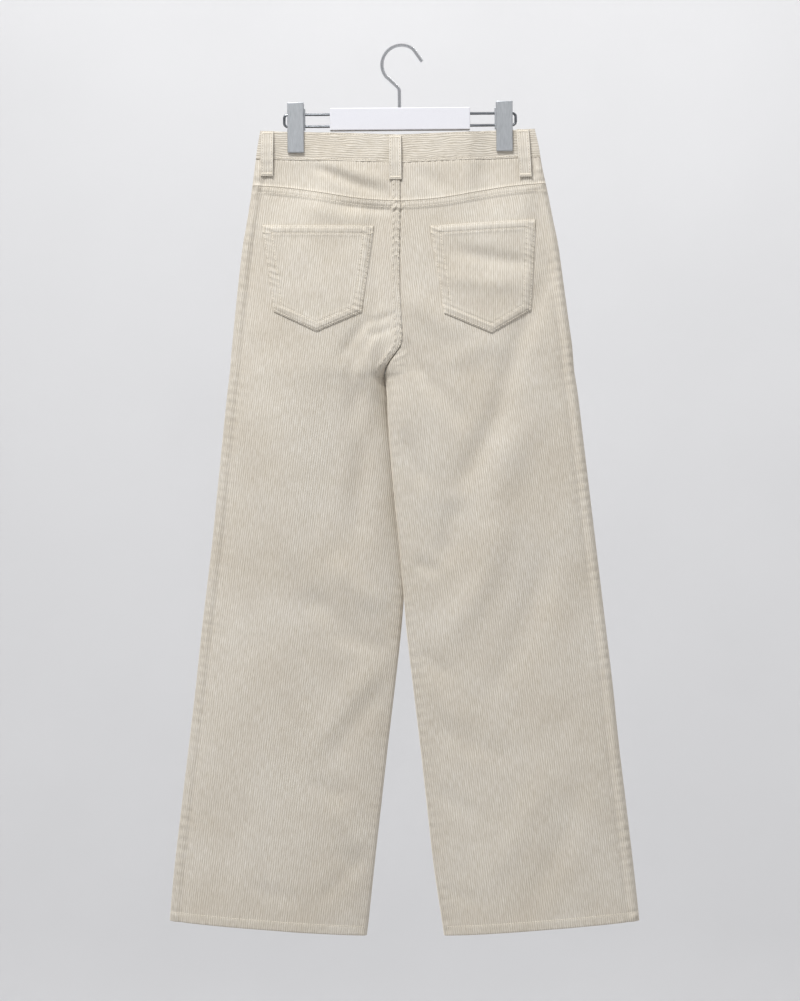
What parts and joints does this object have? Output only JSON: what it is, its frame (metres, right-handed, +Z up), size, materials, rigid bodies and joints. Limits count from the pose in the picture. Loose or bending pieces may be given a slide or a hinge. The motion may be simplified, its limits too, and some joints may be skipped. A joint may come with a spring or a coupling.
{
  "type": "corduroy trousers on a clip hanger",
  "caption": "Wide-leg corduroy trousers with back yoke, patch pockets and belt loops, hung flat by the waistband from a clip hanger.",
  "frame": {"origin": "inside top of the hanger's hook, where a rail or peg carries it", "axes": "+Z up; -Y the garment's back, +Y its front; +X the right-hand leg as seen from behind"},
  "size_m": [0.6104, 0.0577, 1.159],
  "materials": {
    "corduroy": "ecru cotton corduroy, soft napped wales",
    "zip_tape": "woven polyester tape",
    "zip_brass": "satin brass",
    "button": "polished horn-look resin",
    "white_plastic": "satin white moulding",
    "chrome_wire": "bright chrome-plated steel",
    "satin_steel": "satin nickel-plated steel"
  },
  "bodies": {
    "root": {"waistband": "corduroy", "yoke_left": "corduroy", "yoke_right": "corduroy", "back_left": "corduroy", "back_right": "corduroy", "front_left": "corduroy", "front_right": "corduroy", "pocket_left": "corduroy", "pocket_right": "corduroy", "loop_back_left": "corduroy", "loop_back_middle": "corduroy", "loop_back_right": "corduroy", "loop_front_left": "corduroy", "loop_front_right": "corduroy", "hem_left": "corduroy", "hem_right": "corduroy", "fly_shield": "corduroy", "zip_tape": "zip_tape", "zip_slider": "zip_brass", "button": "button", "hanger_bar": "white_plastic", "hanger_hook": "chrome_wire", "hanger_wire_left": "chrome_wire", "hanger_wire_right": "chrome_wire", "clip_left_back_jaw": "satin_steel", "clip_left_front_jaw": "satin_steel", "clip_left_saddle": "satin_steel", "clip_right_back_jaw": "satin_steel", "clip_right_front_jaw": "satin_steel", "clip_right_saddle": "satin_steel"}
  },
  "joints": []
}
